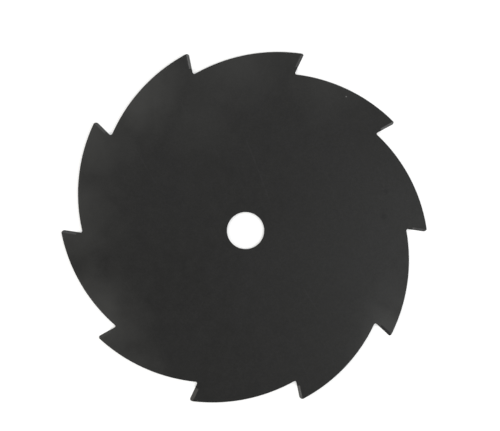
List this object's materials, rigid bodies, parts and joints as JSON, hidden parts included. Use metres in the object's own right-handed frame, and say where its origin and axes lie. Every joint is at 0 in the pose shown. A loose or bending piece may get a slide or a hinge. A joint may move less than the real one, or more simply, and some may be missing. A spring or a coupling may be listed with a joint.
{
  "type": "brush cutter blade",
  "caption": "Flat round brush cutter blade of black coated steel with hooked saw teeth, each ground sharp on the upper face, and a round centre bore.",
  "frame": {"origin": "centre of the bore on the lower face, the face that has no bevels", "axes": "+Z along the bore's axis, out of the face with the ground bevels; +X through the tip of one tooth; seen from +Z the teeth point clockwise"},
  "size_m": [0.25, 0.2404, 0.0014],
  "materials": {
    "black_coat": "satin black coat over rolled steel, worn to grey steel on the ground bevels of the teeth"
  },
  "bodies": {
    "root": {"blade": "black_coat"}
  },
  "joints": []
}
